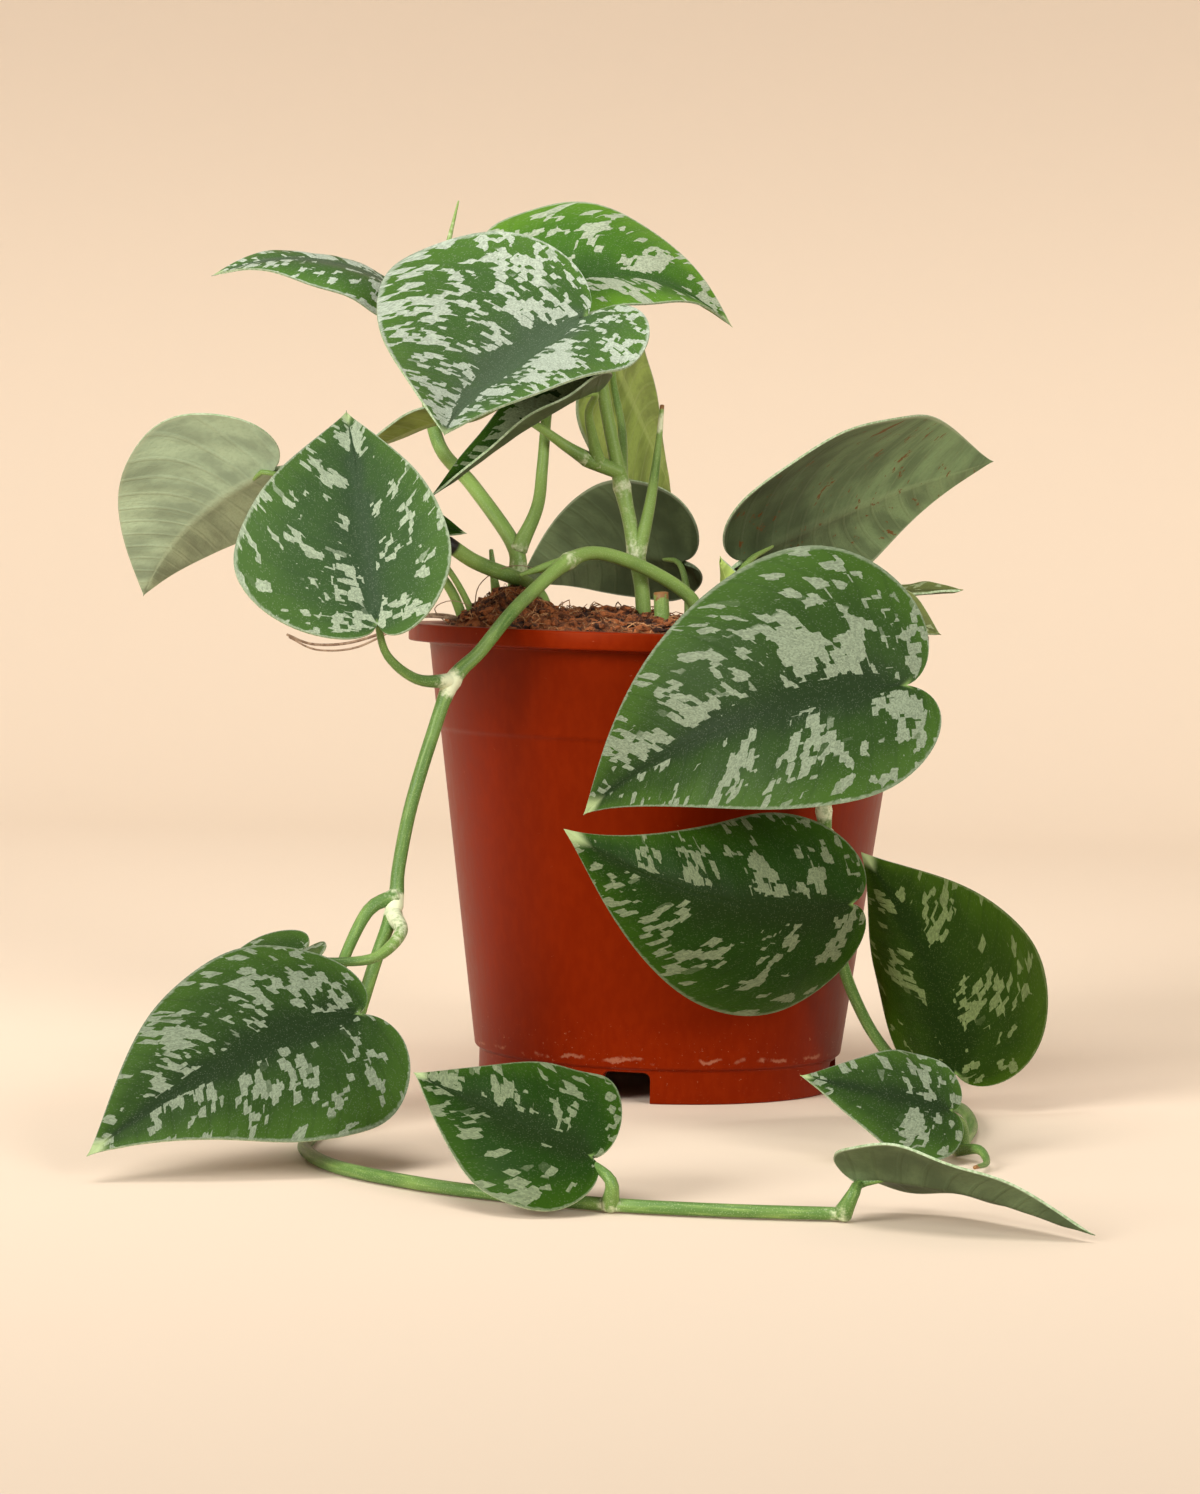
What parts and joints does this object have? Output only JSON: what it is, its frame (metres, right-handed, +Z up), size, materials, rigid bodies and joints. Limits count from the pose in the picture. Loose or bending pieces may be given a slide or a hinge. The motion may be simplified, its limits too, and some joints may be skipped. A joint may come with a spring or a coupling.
{
  "type": "potted satin pothos",
  "caption": "Trailing aroid house plant with heart-shaped, silver-blotched leaves, in a round tapered nursery pot, its vines laid out on the surface.",
  "frame": {"origin": "the middle of the footprint of the whole plant, on the surface that the pot stands on; the pot's axis is at x 19.5 mm, y 74.9 mm", "axes": "+Z up, -Y towards the front, where the two large leaves hang over the rim and the vines trail, +X to the right"},
  "size_m": [0.2122, 0.2744, 0.206],
  "materials": {
    "terracotta_plastic": "semi-gloss moulded plastic with faint streaks and lime marks",
    "coir_soil": "loose reddish brown coir and peat",
    "green_stem": "smooth green skin, freckled, paler at the nodes",
    "satin_leaf": "satin green with matte silver blotches, paler and grey-green underneath"
  },
  "bodies": {
    "root": {"pot": "terracotta_plastic", "soil": "coir_soil", "vine_left": "green_stem", "vine_right": "green_stem", "stem_crown_left": "green_stem", "stem_crown_right": "green_stem", "stub_pointed": "green_stem", "stub_dark_end": "green_stem", "stub_cut": "green_stem", "leaf_crown_front": "satin_leaf", "leaf_crown_back": "satin_leaf", "leaf_upper_left": "satin_leaf", "leaf_left_pale": "satin_leaf", "leaf_left_heart": "satin_leaf", "leaf_under_crown_left": "satin_leaf", "leaf_under_crown_front": "satin_leaf", "leaf_back_tall": "satin_leaf", "leaf_back_dark": "satin_leaf", "leaf_back_right": "satin_leaf", "leaf_front_large": "satin_leaf", "leaf_front_lower": "satin_leaf", "leaf_front_hanging": "satin_leaf", "leaf_floor_right": "satin_leaf", "leaf_small_right_upper": "satin_leaf", "leaf_small_right_lower": "satin_leaf", "leaf_small_behind": "satin_leaf", "leaf_small_left": "satin_leaf", "leaf_floor_edgewise": "satin_leaf", "leaf_floor_large": "satin_leaf", "leaf_floor_middle": "satin_leaf", "leaf_floor_front": "satin_leaf"}
  },
  "joints": []
}
